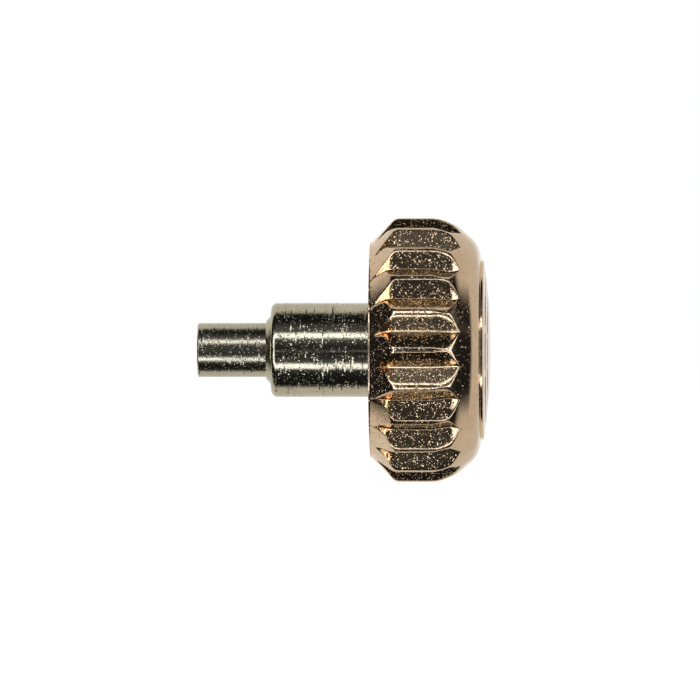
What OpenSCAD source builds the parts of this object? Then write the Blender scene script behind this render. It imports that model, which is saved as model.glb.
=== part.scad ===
// Screw-down watch crown, axis along X, dome towards +X, stem pipe towards -X.
// The origin is on the axis, in the plane of the cap's rear rim.
// Each piece is drawn upright on its own axis and then laid down along X.

/* [Crown cap] */
// Outside diameter of the cap over its ridges
cap_d = 6.0; // [5.8:0.05:6.8]
// Height of the cap on its axis, from the rear rim to the dome
cap_h = 2.65; // [2.55:0.01:3.1]
// Solid metal left between the pocket and the dome
end_wall = 0.65; // [0.45:0.01:0.8]
// Width of the short straight band at the rear rim
rim_band = 0.03; // [0.02:0.01:0.12]
// Height of the rear cone
cone_h = 0.54; // [0.3:0.01:0.7]
// Radius between the rear cone and the ridges
cone_round = 0.06; // [0.05:0.01:0.3]
// Wall of the cap at the rear rim, outside the insert
rim_wall = 0.245; // [0.15:0.005:0.4]
// Radius that rolls the flutes into the shoulder
shoulder_r = 1.05; // [0.5:0.05:1.1]
// Slope of the shoulder against the axis
shoulder_slope = 41; // [38:1:46]
// Radius between the shoulder and the dome
brow_r = 0.66; // [0.3:0.01:0.75]
// Radial width of the shoulder, from the ridges to the edge of the dome
shoulder_w = 0.85; // [0.8:0.01:1.0]
// Radius of the dome's curve
dome_curve_r = 14; // [10:0.1:20]
// Margin of dome left outside the raised disc
disc_margin = 0.12; // [0.06:0.01:0.5]
// Height of the raised disc above the dome
disc_h = 0.06; // [0.03:0.01:0.08]
// Width of the raised disc's outer band
outer_band_w = 0.355; // [0.2:0.005:0.6]
// Width of its inner band
inner_band_w = 0.33; // [0.2:0.005:0.6]
// Width of the ring grooves on both sides of the inner band
ring_groove_w = 0.11; // [0.05:0.01:0.15]

/* [Flutes] */
// Number of flutes
flute_count = 22; // [18:1:28]
// Depth of a flute below the ridges
flute_depth = 0.26; // [0.16:0.01:0.3]
// Width of the flat land on each ridge
land_w = 0.107; // [0.06:0.001:0.2]
// Height at which the tails leave the flutes
tail_start = 0.41; // [0.3:0.01:0.5]
// Depth of a flute's tail where it leaves the rear cone
tail_end_depth = 0.04; // [0.01:0.005:0.08]
// Turn of each tail out of line with its flute, in degrees
tail_lean = 16; // [0:1:18]

/* [Thread insert] */
// Bore of the insert, the minor diameter of its thread
thread_bore_d = 3.5; // [3.4:0.05:3.7]
// Wall of the insert outside that bore
insert_wall = 0.45; // [0.3:0.01:0.5]
// Depth of the insert's rear face below the rim
insert_set = 0.08; // [0.02:0.01:0.2]
// Floor of the insert
insert_floor = 0.3; // [0.2:0.01:0.4]
// Chamfer at the mouth of the threaded bore
mouth_chamfer = 0.12; // [0.05:0.01:0.2]

/* [Gasket and washer] */
// Thickness of the gasket
gasket_t = 0.35; // [0.25:0.01:0.5]
// Thickness of the washer under the gasket
washer_t = 0.12; // [0.08:0.01:0.2]

/* [Stem sleeve] */
// Outside diameter of the sleeve
sleeve_d = 2.13; // [2.05:0.01:2.25]
// Distance from the rear rim to the mouth of the sleeve
sleeve_out = 2.24; // [1.9:0.01:2.8]
// Radius of the rounded mouth
sleeve_round = 0.22; // [0.1:0.01:0.25]
// Step in radius from the sleeve to its neck
neck_step = 0.16; // [0.155:0.005:0.2]

/* [Guide bush] */
// Length of the bush inside the sleeve
bush_seat = 0.47; // [0.25:0.01:0.6]
// Length of the bush's cone, which stands out of the sleeve
bush_out = 0.11; // [0.05:0.005:0.2]
// Wall of the bush at the mouth of its cone
bush_lip = 0.02; // [0.01:0.005:0.06]

/* [Stem pipe] */
// Outside diameter of the pipe
pipe_d = 1.22; // [1.15:0.01:1.24]
// Length of pipe that stands out of the bush at rest
pipe_out = 1.55; // [1.3:0.01:1.8]
// Size across the flats of the pipe's hexagonal head
head_af = 1.28; // [1.26:0.01:1.32]
// Length of the hexagonal head
head_l = 1.0; // [0.6:0.01:1.1]
// Minor diameter of the stem thread in the pipe
stem_bore_d = 0.9; // [0.7:0.01:0.96]
// Depth of the stem thread
stem_bore_l = 1.6; // [1.2:0.01:1.8]
// Chamfer at the pipe's end
pipe_chamfer = 0.03; // [0.01:0.005:0.05]

/* [Spring] */
// Diameter of the spring wire
wire_d = 0.16; // [0.1:0.01:0.18]
// Number of turns of the spring
spring_turns = 3.5; // [2.5:0.25:4]
// Thickness of the seat disc under the spring
seat_t = 0.15; // [0.1:0.01:0.25]

/* [Fits] */
// Radial clearance between the hexagonal head and the broached bore
head_clear = 0.03; // [0.02:0.005:0.06]
// Radial clearance between the pipe and the bush
pipe_clear = 0.03; // [0.02:0.005:0.06]
// Clearance of the spring and its seat inside the broached bore
spring_clear = 0.04; // [0.02:0.005:0.06]
// Clearance between the sleeve's shoulder and the gasket
gasket_clear = 0.03; // [0.02:0.01:0.06]

/* [Hidden] */
$fn = 96;
// Cutters run this far past the faces they open
past = 0.2;

// Radii
cap_r = cap_d / 2;
valley_r = cap_r - flute_depth;
thread_bore_r = thread_bore_d / 2;
insert_r = thread_bore_r + insert_wall;
rim_r = insert_r + rim_wall;
dome_edge_r = cap_r - shoulder_w;
disc_r = dome_edge_r - disc_margin;
sleeve_r = sleeve_d / 2;
neck_r = sleeve_r - neck_step;
pipe_r = pipe_d / 2;
stem_bore_r = stem_bore_d / 2;
broach_af = head_af + 2 * head_clear;
// The bush is just wider than the broached bore's corners, so it stops on their ends
bush_r = broach_af / 2 / cos(30) + 0.01;
bush_bore_r = pipe_r + pipe_clear;

// Heights along the axis
cone_top = rim_band + cone_h;
pocket_z = cap_h - end_wall;
cavity_z = pocket_z - insert_floor;
gasket_z = cavity_z - washer_t - gasket_t;
neck_z = gasket_z - gasket_clear;
bush_z = -sleeve_out - bush_out;
head_z = -sleeve_out + bush_seat;
pipe_z = bush_z - pipe_out;
seat_z = pocket_z - seat_t;
spring_z = head_z + head_l;

// Points of an arc about a centre, from one direction to another in degrees
function arc(centre, r, from, to, steps = 8) = [
    for (i = [0:steps])
        let (a = from + (to - from) * i / steps)
            centre + r * [cos(a), sin(a)]
];

module along_x() rotate([0, 90, 0]) children();

// A hexagonal prism with a flat facing the X direction
module hex_bar(af, z, length)
    translate([0, 0, z])
        rotate(30)
            cylinder(d = af / cos(30), h = length, $fn = 6);

module bore(r, z, length)
    translate([0, 0, z])
        cylinder(r = r, h = length);

module ring(r_out, r_in, z, length)
    difference() {
        bore(r_out, z, length);
        bore(r_in, z - past, length + 2 * past);
    }

// Crown cap

// The dome and the brow share a tangent, and the shoulder's straight stretch
// touches both the brow and the arc that rolls down to the flutes.
dome_edge_angle = asin(dome_edge_r / dome_curve_r);
dome_centre = [0, cap_h - dome_curve_r];
brow_centre = dome_centre
    + (dome_curve_r - brow_r) * [sin(dome_edge_angle), cos(dome_edge_angle)];
shoulder_z = (cos(shoulder_slope) * (brow_centre[0] - cap_r + shoulder_r)
    + sin(shoulder_slope) * brow_centre[1] + brow_r - shoulder_r) / sin(shoulder_slope);

module cap_blank() {
    cone_angle = atan((cap_r - rim_r) / cone_h);
    ridge_centre = [cap_r - cone_round, cone_top + cone_round * tan(cone_angle / 2)];
    shoulder_centre = [cap_r - shoulder_r, shoulder_z];
    rotate_extrude()
        polygon(concat(
            [[0, 0], [rim_r, 0], [rim_r, rim_band]],
            arc(ridge_centre, cone_round, -cone_angle, 0, 4),
            arc(shoulder_centre, shoulder_r, 0, shoulder_slope),
            arc(brow_centre, brow_r, shoulder_slope, 90 - dome_edge_angle),
            arc(dome_centre, dome_curve_r, 90 - dome_edge_angle, 90)
        ));
}

// A raised band on the dome between two radii, its sides square to the dome
module dome_band(r_out, r_in) {
    a_out = 90 - asin(r_out / dome_curve_r);
    a_in = 90 - asin(r_in / dome_curve_r);
    rotate_extrude()
        polygon(concat(
            arc(dome_centre, dome_curve_r + disc_h, a_out, a_in, 4),
            arc(dome_centre, dome_curve_r - disc_h, a_in, a_out, 4)
        ));
}

module raised_disc() {
    inner_band_r = disc_r - outer_band_w - ring_groove_w;
    button_r = inner_band_r - inner_band_w - ring_groove_w;
    dome_band(disc_r, disc_r - outer_band_w);
    dome_band(inner_band_r, inner_band_r - inner_band_w);
    dome_band(button_r, 0);
}

// A V in plan, its point at the origin, opening towards +X
module vee(slope) {
    reach = 3 * flute_depth;
    polygon([[0, 0], [reach, reach * slope], [reach, -reach * slope]]);
}

// Sideways run of a flute's flank for each unit of depth
flute_half_w = cap_r * sin(180 / flute_count) - land_w / 2;
flank_slope = flute_half_w / (cap_r * cos(asin(flute_half_w / cap_r)) - valley_r);
// Angle at which a tail's bottom falls towards the rear rim
tail_fall = atan((valley_r - (rim_r - tail_end_depth)) / tail_start);
tail_l = tail_start / cos(tail_fall);

module flute_cutters()
    for (i = [0:flute_count - 1])
        rotate(i * 360 / flute_count)
            translate([valley_r, 0, tail_start])
                linear_extrude(cap_h)
                    vee(flank_slope);

module tail_cutters()
    for (i = [0:flute_count - 1])
        rotate(i * 360 / flute_count)
            translate([valley_r, 0, tail_start])
                rotate([tail_lean, 0, 0])
                    rotate([0, tail_fall, 0])
                        translate([0, 0, -tail_l - past])
                            linear_extrude(2 * tail_l + past)
                                vee(flank_slope / cos(tail_fall));

module crown_cap()
    color([0.80, 0.56, 0.40])
        along_x()
            difference() {
                union() {
                    cap_blank();
                    raised_disc();
                }
                flute_cutters();
                tail_cutters();
                bore(insert_r, -past, pocket_z + past);
            }

// Thread insert, the steel core that the case tube screws into
module thread_insert()
    color("silver")
        along_x()
            difference() {
                bore(insert_r, insert_set, pocket_z - insert_set);
                bore(thread_bore_r, insert_set - past, cavity_z - insert_set + past);
                bore(neck_r, cavity_z - past, insert_floor + 2 * past);
                translate([0, 0, insert_set])
                    cylinder(r1 = thread_bore_r + mouth_chamfer, r2 = thread_bore_r,
                        h = mouth_chamfer);
            }

// Washer and gasket at the bottom of the cavity, both round the sleeve's neck
module gasket_washer()
    color("gainsboro")
        along_x()
            ring(thread_bore_r, neck_r, cavity_z - washer_t, washer_t);

module cavity_gasket()
    color([0.16, 0.16, 0.17])
        along_x()
            ring(thread_bore_r, neck_r, gasket_z, gasket_t);

// Stem sleeve, with a broached bore and a necked inner end
module stem_sleeve()
    color([0.78, 0.78, 0.74])
        along_x()
            difference() {
                union() {
                    rotate_extrude()
                        polygon(concat(
                            [[0, neck_z], [0, -sleeve_out]],
                            arc([sleeve_r - sleeve_round, -sleeve_out + sleeve_round],
                                sleeve_round, -90, 0),
                            [[sleeve_r, neck_z]]
                        ));
                    bore(neck_r, neck_z - past, pocket_z - neck_z + past);
                }
                hex_bar(broach_af, -sleeve_out - past, sleeve_out + pocket_z + 2 * past);
                bore(bush_r, -sleeve_out - past, bush_seat + past);
            }

// Guide bush pressed into the mouth, which the pipe's head stops against
module guide_bush()
    color([0.70, 0.69, 0.62])
        along_x()
            difference() {
                rotate_extrude()
                    polygon([
                        [0, head_z], [0, bush_z], [bush_bore_r + bush_lip, bush_z],
                        [bush_r, -sleeve_out], [bush_r, head_z]
                    ]);
                bore(bush_bore_r, bush_z - past, bush_out + bush_seat + 2 * past);
            }

// Stem pipe, whose head slides in the broached bore and turns with it
module stem_pipe()
    color([0.76, 0.76, 0.72])
        along_x()
            difference() {
                union() {
                    translate([0, 0, pipe_z])
                        cylinder(r1 = pipe_r - pipe_chamfer, r2 = pipe_r, h = pipe_chamfer);
                    bore(pipe_r, pipe_z + pipe_chamfer, head_z - pipe_z - pipe_chamfer + past);
                    hex_bar(head_af, head_z, head_l);
                }
                bore(stem_bore_r, pipe_z - past, stem_bore_l + past);
                translate([0, 0, pipe_z + stem_bore_l])
                    cylinder(r1 = stem_bore_r, r2 = 0, h = stem_bore_r * tan(31));
            }

// Spring seat, a disc on the pocket's floor inside the sleeve
module spring_seat()
    color("silver")
        along_x()
            bore(broach_af / 2 - spring_clear, seat_z, seat_t);

// Return spring, one wire whose ends run straight into the head and the seat
spring_coil_r = broach_af / 2 - spring_clear - wire_d / 2;
spring_l = seat_z - spring_z;
rings_per_turn = 12;
spring_rings = round(spring_turns * rings_per_turn);
wire_sides = 6;
// Share of the coil over which the wire bends from straight into the winding
bend_share = 0.06;

// Share of the turns that is wound at a share u of the coil's length
function wound(u) =
    u < bend_share ? u * u / (2 * bend_share * (1 - bend_share))
    : u > 1 - bend_share ? 1 - (1 - u) * (1 - u) / (2 * bend_share * (1 - bend_share))
    : (u - bend_share / 2) / (1 - bend_share);

// The wire's centre line as angle and height: a straight end, the coil, a straight end
wire_line = concat(
    [[0, spring_z]],
    [for (i = [0:spring_rings])
        let (u = i / spring_rings)
            [360 * spring_turns * wound(u), spring_z + wire_d + (spring_l - 2 * wire_d) * u]],
    [[360 * spring_turns, seat_z]]
);

function wire_point(i) =
    [spring_coil_r * cos(wire_line[i][0]), spring_coil_r * sin(wire_line[i][0]), wire_line[i][1]];

function wire_way(i) =
    let (
        last = len(wire_line) - 1,
        way = i == 0 || i == last ? [0, 0, 1]
            : wire_point(i + 1) - wire_point(i - 1)
    ) way / norm(way);

// One ring of points round the wire, set out from the coil's radius and across it
function wire_ring(i) =
    let (
        out = [cos(wire_line[i][0]), sin(wire_line[i][0]), 0],
        side = cross(wire_way(i), out)
    ) [for (k = [0:wire_sides - 1])
        wire_point(i) + wire_d / 2
            * (cos(360 * k / wire_sides) * out + sin(360 * k / wire_sides) * side / norm(side))];

// Least distance between stretches of the wire more than half a turn apart
function least_gap() =
    min([for (i = [0:len(wire_line) - 1])
        for (j = [i + rings_per_turn / 2 : 1 : len(wire_line) - 1])
            norm(wire_point(i) - wire_point(j))]) - wire_d;

module return_spring() {
    last = len(wire_line) - 1;
    echo(str("Least gap between the turns of the return spring: ", least_gap(), " mm"));
    color([0.72, 0.72, 0.74])
        along_x()
            polyhedron(
                points = [for (i = [0:last]) each wire_ring(i)],
                faces = concat(
                    [for (k = [1:wire_sides - 2]) [0, k, k + 1]],
                    [for (k = [1:wire_sides - 2])
                        [last * wire_sides, last * wire_sides + k + 1, last * wire_sides + k]],
                    [for (i = [0:last - 1])
                        for (k = [0:wire_sides - 1])
                            let (
                                a = i * wire_sides + k,
                                b = i * wire_sides + (k + 1) % wire_sides
                            ) each [[a, a + wire_sides, b], [b, a + wire_sides, b + wire_sides]]]
                )
            );
}

crown_cap();
thread_insert();
stem_sleeve();
guide_bush();
stem_pipe();
return_spring();
spring_seat();
cavity_gasket();
gasket_washer();
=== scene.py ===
import math

import bmesh
import bpy
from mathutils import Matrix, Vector


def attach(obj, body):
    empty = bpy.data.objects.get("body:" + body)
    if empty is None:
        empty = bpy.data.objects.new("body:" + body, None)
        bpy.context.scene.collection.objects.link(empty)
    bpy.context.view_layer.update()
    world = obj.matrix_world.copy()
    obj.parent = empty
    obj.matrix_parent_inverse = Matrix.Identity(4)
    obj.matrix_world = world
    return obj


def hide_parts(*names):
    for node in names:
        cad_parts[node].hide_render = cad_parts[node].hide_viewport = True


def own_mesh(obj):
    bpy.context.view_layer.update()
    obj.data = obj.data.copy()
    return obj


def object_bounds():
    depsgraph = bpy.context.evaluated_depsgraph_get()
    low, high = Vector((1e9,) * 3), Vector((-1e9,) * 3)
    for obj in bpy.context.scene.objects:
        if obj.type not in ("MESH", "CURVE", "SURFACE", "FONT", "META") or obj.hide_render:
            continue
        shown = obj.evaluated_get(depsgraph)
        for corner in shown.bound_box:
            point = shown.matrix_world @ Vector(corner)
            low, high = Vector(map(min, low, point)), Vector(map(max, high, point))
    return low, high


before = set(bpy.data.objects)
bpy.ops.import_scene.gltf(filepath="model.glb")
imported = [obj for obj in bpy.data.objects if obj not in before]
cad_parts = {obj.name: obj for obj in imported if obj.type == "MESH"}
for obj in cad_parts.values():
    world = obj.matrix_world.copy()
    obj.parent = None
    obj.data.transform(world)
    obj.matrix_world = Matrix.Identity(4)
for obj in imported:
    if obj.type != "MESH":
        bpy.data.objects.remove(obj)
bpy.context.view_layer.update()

# Screw-down watch crown lying on its side: pipe towards -X, dome towards +X.
# Sizes are in millimetres; mm turns them into Blender's metres.
mm = 0.001
weldGap = 2e-8  # metres; points closer than this become one
sliver = 1e-9  # metres; edges shorter than this are taken out
print("Frame loaded with", len(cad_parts), "CAD nodes")


# helpers


def connect(tree, item, socket):
    # item is a number, a vector, a socket or a Value
    if isinstance(item, Value):
        item = item.socket
    if isinstance(item, bpy.types.NodeSocket):
        tree.links.new(item, socket)
    else:
        socket.default_value = item


def addNode(tree, kind, inputs=None, **settings):
    node = tree.nodes.new(kind)
    for key, setting in settings.items():
        setattr(node, key, setting)
    for name, item in (inputs or {}).items():
        connect(tree, item, node.inputs[name])
    return node


class Value:
    # A number inside a node tree, so that the trees below read as formulas
    def __init__(self, tree, socket):
        self.tree = tree
        self.socket = socket

    def math(self, operation, *others):
        node = self.tree.nodes.new("ShaderNodeMath")
        node.operation = operation
        for socket, item in zip(node.inputs, (self, *others)):
            connect(self.tree, item, socket)
        return Value(self.tree, node.outputs[0])

    def __add__(self, other):
        return self.math("ADD", other)

    def __sub__(self, other):
        return self.math("SUBTRACT", other)

    def __mul__(self, other):
        return self.math("MULTIPLY", other)

    def __truediv__(self, other):
        return self.math("DIVIDE", other)

    def __neg__(self):
        return self.math("MULTIPLY", -1.0)

    def __rsub__(self, other):
        return -self + other

    def clamp(self, low=0.0, high=1.0):
        return self.math("MAXIMUM", low).math("MINIMUM", high)

    def ramp(self, low, high):
        # 0 at low, 1 at high, smooth between and level outside; low may be above high
        ends = {"Value": self, "From Min": min(low, high), "From Max": max(low, high)}
        ends.update({"To Min": float(low > high), "To Max": float(low < high)})
        node = addNode(self.tree, "ShaderNodeMapRange", ends, interpolation_type="SMOOTHSTEP")
        return Value(self.tree, node.outputs["Result"])


def newObject(name, data):
    item = bpy.data.objects.new(name, data)
    bpy.context.scene.collection.objects.link(item)
    return item


def newMesh(name, points, faces):
    # points in mm; the mesh is welded and its faces turned outwards
    mesh = bpy.data.meshes.new(name)
    mesh.from_pydata([Vector(p) * mm for p in points], [], faces)
    piece = newObject(name, mesh)
    weld(mesh)
    return piece


def weld(mesh, smoothAngle=38):
    work = bmesh.new()
    work.from_mesh(mesh)
    bmesh.ops.remove_doubles(work, verts=work.verts, dist=weldGap)
    bmesh.ops.dissolve_degenerate(work, edges=work.edges, dist=sliver)
    bmesh.ops.recalc_face_normals(work, faces=work.faces)
    if work.calc_volume(signed=True) < 0:
        bmesh.ops.reverse_faces(work, faces=work.faces)
    work.to_mesh(mesh)
    work.free()
    mesh.polygons.foreach_set("use_smooth", [True] * len(mesh.polygons))
    mesh.set_sharp_from_angle(angle=math.radians(smoothAngle))


def arcPoints(centre, radius, start, end, steps):
    # centre and points are (x, radius from the axis); angles in degrees from the radial direction
    angles = [math.radians(start + (end - start) * i / steps) for i in range(steps + 1)]
    return [(centre[0] + radius * math.sin(a), centre[1] + radius * math.cos(a)) for a in angles]


def roundCorners(corners, steps=4, sideShare=0.48):
    # corners are (x, r) or (x, r, fillet); a fillet takes at most sideShare of the sides beside it
    out = []
    for i, corner in enumerate(corners):
        here = Vector(corner[:2])
        fillet = corner[2] if len(corner) > 2 else 0
        if not fillet or i in (0, len(corners) - 1):
            out.append((here.x, here.y))
            continue
        before, after = (Vector(corners[k][:2]) - here for k in (i - 1, i + 1))
        half = before.angle(after) / 2
        reach = min(fillet / math.tan(half), sideShare * before.length, sideShare * after.length)
        radius = reach * math.tan(half)
        before.normalize()
        after.normalize()
        start, end = here + before * reach, here + after * reach
        middle = (before + after).normalized()
        centre = here + middle * (radius / math.sin(half))
        for k in range(steps + 1):
            way = (start - centre).lerp(end - centre, k / steps).normalized()
            point = centre + way * radius
            out.append((point.x, point.y))
    return out


def hexRadius(angle, acrossFlats):
    # distance from the axis to a hexagon's side; a flat faces angle 0
    turn = (angle + math.pi / 6) % (math.pi / 3) - math.pi / 6
    return acrossFlats / 2 / math.cos(turn)


def onCircle(x, radius, angle):
    # angle 0 is straight down and pi / 2 is towards +Y, as the CAD lays its circles
    return (x, radius * math.sin(angle), -radius * math.cos(angle))


def turnedPiece(name, profile, columns, closed=True):
    # profile is a list of (x, r); r may also be ("hex", across flats)
    points, faces = [], []
    for x, radius in profile:
        for k in range(columns):
            angle = 2 * math.pi * k / columns
            size = hexRadius(angle, radius[1]) if isinstance(radius, tuple) else radius
            points.append(onCircle(x, size, angle))
    rows = len(profile)
    for i in range(rows if closed else rows - 1):
        for k in range(columns):
            a, b = i * columns + k, i * columns + (k + 1) % columns
            c, d = (i + 1) % rows * columns + (k + 1) % columns, (i + 1) % rows * columns + k
            faces.append((a, b, c, d))
    return newMesh(name, points, faces)


def joinInto(piece, other):
    # adds the other object's mesh to piece and removes the object
    work = bmesh.new()
    work.from_mesh(piece.data)
    work.from_mesh(other.data)
    work.to_mesh(piece.data)
    work.free()
    bpy.data.objects.remove(other)


def newSource(name, rows=()):
    # an object for a tree to start from: a line through rows of (x, r), or an empty mesh
    mesh = bpy.data.meshes.new(name)
    points = [(x * mm, r * mm, 0.0) for x, r in rows]
    mesh.from_pydata(points, [(i, i + 1) for i in range(len(rows) - 1)], [])
    return newObject(name, mesh)


def namedSizes(values, labels):
    # inputs for a tree: the one called Tail Start takes the value of tailStart
    return {label: values[label[0].lower() + label[1:].replace(" ", "")] for label in labels}


def newNodeGroup(name, sizes):
    # a Geometry Nodes tree with a number input for each named size
    tree = bpy.data.node_groups.new(name, "GeometryNodeTree")
    tree.interface.new_socket(name="Geometry", in_out="INPUT", socket_type="NodeSocketGeometry")
    for label, size in sizes.items():
        kind = "NodeSocketInt" if isinstance(size, int) else "NodeSocketFloat"
        tree.interface.new_socket(name=label, in_out="INPUT", socket_type=kind)
    tree.interface.new_socket(name="Geometry", in_out="OUTPUT", socket_type="NodeSocketGeometry")
    start = tree.nodes.new("NodeGroupInput")
    values = {label: Value(tree, start.outputs[label]) for label in sizes}
    return tree, start, values


def bakeNodes(source, tree, sizes, name):
    # runs the tree on source and returns a plain mesh object
    modifier = source.modifiers.new(tree.name, "NODES")
    modifier.node_group = tree
    for item in tree.interface.items_tree:
        if item.item_type == "SOCKET" and item.in_out == "INPUT" and item.name in sizes:
            modifier[item.identifier] = sizes[item.name]
    seen = source.evaluated_get(bpy.context.evaluated_depsgraph_get())
    mesh = bpy.data.meshes.new_from_object(seen)
    mesh.name = name
    source.modifiers.remove(modifier)
    bpy.data.objects.remove(source)
    return newObject(name, mesh)


def endTree(tree, geometry, material):
    # every tree ends in Realize Instances and Set Material
    realize = addNode(tree, "GeometryNodeRealizeInstances", {"Geometry": geometry})
    dress = {"Geometry": realize.outputs[0], "Material": material}
    paint = addNode(tree, "GeometryNodeSetMaterial", dress)
    output = tree.nodes.new("NodeGroupOutput")
    tree.links.new(paint.outputs[0], output.inputs[0])


def gridOf(tree, columns, rows):
    # a flat grid, one unit each way, and how far each point is across it and along it
    size = {"Size X": 1.0, "Size Y": 1.0, "Vertices X": columns, "Vertices Y": rows}
    grid = addNode(tree, "GeometryNodeMeshGrid", size)
    position = addNode(tree, "GeometryNodeInputPosition").outputs[0]
    place = addNode(tree, "ShaderNodeSeparateXYZ", {"Vector": position})
    across = Value(tree, place.outputs["X"]) + 0.5
    along = Value(tree, place.outputs["Y"]) + 0.5
    return grid.outputs["Mesh"], across, along


def aroundAxis(tree, x, radius, angle):
    # onCircle inside a tree: sizes in mm, the place in metres
    place = addNode(tree, "ShaderNodeCombineXYZ")
    connect(tree, x * mm, place.inputs["X"])
    connect(tree, radius * angle.math("SINE") * mm, place.inputs["Y"])
    connect(tree, radius * angle.math("COSINE") * -mm, place.inputs["Z"])
    return place.outputs[0]


def movedAndWelded(tree, geometry, place):
    shape = addNode(tree, "GeometryNodeSetPosition", {"Geometry": geometry, "Position": place})
    joining = {"Geometry": shape.outputs[0], "Distance": weldGap}
    return addNode(tree, "GeometryNodeMergeByDistance", joining).outputs[0]


def finishPiece(piece, body, slot, material, *nodes):
    piece.data.materials.clear()
    piece.data.materials.append(material)
    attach(piece, body)
    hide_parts(*nodes)


# material helpers


def newMaterial(name):
    material = bpy.data.materials.new(name)
    material.use_nodes = True
    tree = material.node_tree
    shader = tree.nodes["Principled BSDF"]
    place = addNode(tree, "ShaderNodeTexCoord").outputs["Object"]
    return material, tree, shader, place


def stretched(tree, place, scale):
    mapping = {"Vector": place, "Scale": scale}
    return addNode(tree, "ShaderNodeMapping", mapping, vector_type="POINT").outputs[0]


def noise(tree, place, scale, detail=2.0, roughness=0.5):
    settings = {"Vector": place, "Scale": scale, "Detail": detail, "Roughness": roughness}
    return Value(tree, addNode(tree, "ShaderNodeTexNoise", settings).outputs["Fac"])


def colorMix(tree, share, first, second):
    node = tree.nodes.new("ShaderNodeMix")
    node.data_type = "RGBA"
    connect(tree, share, node.inputs[0])
    for socket, item in ((node.inputs[6], first), (node.inputs[7], second)):
        connect(tree, (*item, 1.0) if isinstance(item, tuple) else item, socket)
    return node.outputs[2]


def bump(tree, height, depth=1.0):
    # height times depth is in mm
    settings = {"Strength": 1.0, "Distance": depth * mm, "Height": height}
    return addNode(tree, "ShaderNodeBump", settings).outputs["Normal"]


def vectorMath(tree, operation, inputs):
    return addNode(tree, "ShaderNodeVectorMath", inputs, operation=operation).outputs["Vector"]


def flakes(tree, place, scale, share, tilt, normal):
    # tiny facets, each tilted its own way; share is how many of them stand out
    cells = addNode(tree, "ShaderNodeTexVoronoi", {"Vector": place, "Scale": scale})
    cell = cells.outputs["Position"]
    pick = addNode(tree, "ShaderNodeTexWhiteNoise", {"Vector": cell}, noise_dimensions="3D")
    chosen = Value(tree, pick.outputs["Value"]).math("LESS_THAN", share)
    way = vectorMath(tree, "SUBTRACT", {0: cells.outputs["Color"], 1: (0.5, 0.5, 0.5)})
    lean = vectorMath(tree, "SCALE", {0: way, "Scale": chosen * tilt})
    tilted = vectorMath(tree, "ADD", {0: normal, 1: lean})
    return vectorMath(tree, "NORMALIZE", {0: tilted})


# rose gold

gold = {
    "color": (0.82, 0.645, 0.465),
    "deepColor": (0.76, 0.56, 0.385),
    # the next two are painted shade: a darker, more saturated gold in the flutes and an orange one in
    # their tails stand in for light bounced between the flanks
    "paintedFluteShade": (0.78, 0.60, 0.395),
    "paintedTailBounce": (0.84, 0.50, 0.24),
    "roughness": 0.10,
    "fluteRoughness": 0.08,
    "cloudRoughness": 0.06,
    # scales are in 1 / metres, depths in mm, and pairs say where something begins and is full
    "cloudScale": 900.0,
    "cloudRange": (0.35, 0.7),
    "patchScale": 2600.0,
    "patchRange": (0.45, 0.65),
    "grainScale": 24000.0,
    "grainDepth": 0.0006,
    "cutGrainDepth": 0.0005,
    "ringScale": (40000.0, 900.0, 900.0),
    "ringDepth": 0.0004,
    "cutRingDepth": 0.0005,
    "dustScale": 21000.0,
    "dustRange": (0.70, 0.76),
    "dustDepth": 0.005,
    "clumpScale": 8000.0,
    "clumpRange": (0.36, 0.60),
    "grooveDepths": (0.012, 0.03),
    # places along the crown's axis
    "cutStart": (0.55, 0.62),
    "cutEnd": (1.86, 1.76),
    "coneStart": (0.62, 0.5),
    # where the tails' painted orange begins and is full
    "paintedBounceStart": (0.60, 0.42),
    # how many facets stand out, and how far they tilt
    "flakeScale": 54000.0,
    "flakeTilt": 0.8,
    "cutFlakeTilt": 0.52,
    "cutShare": 0.045,
    "cutClumpShare": 0.28,
    "clumpShare": 0.03,
    "coneShare": 0.08,
}


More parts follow.
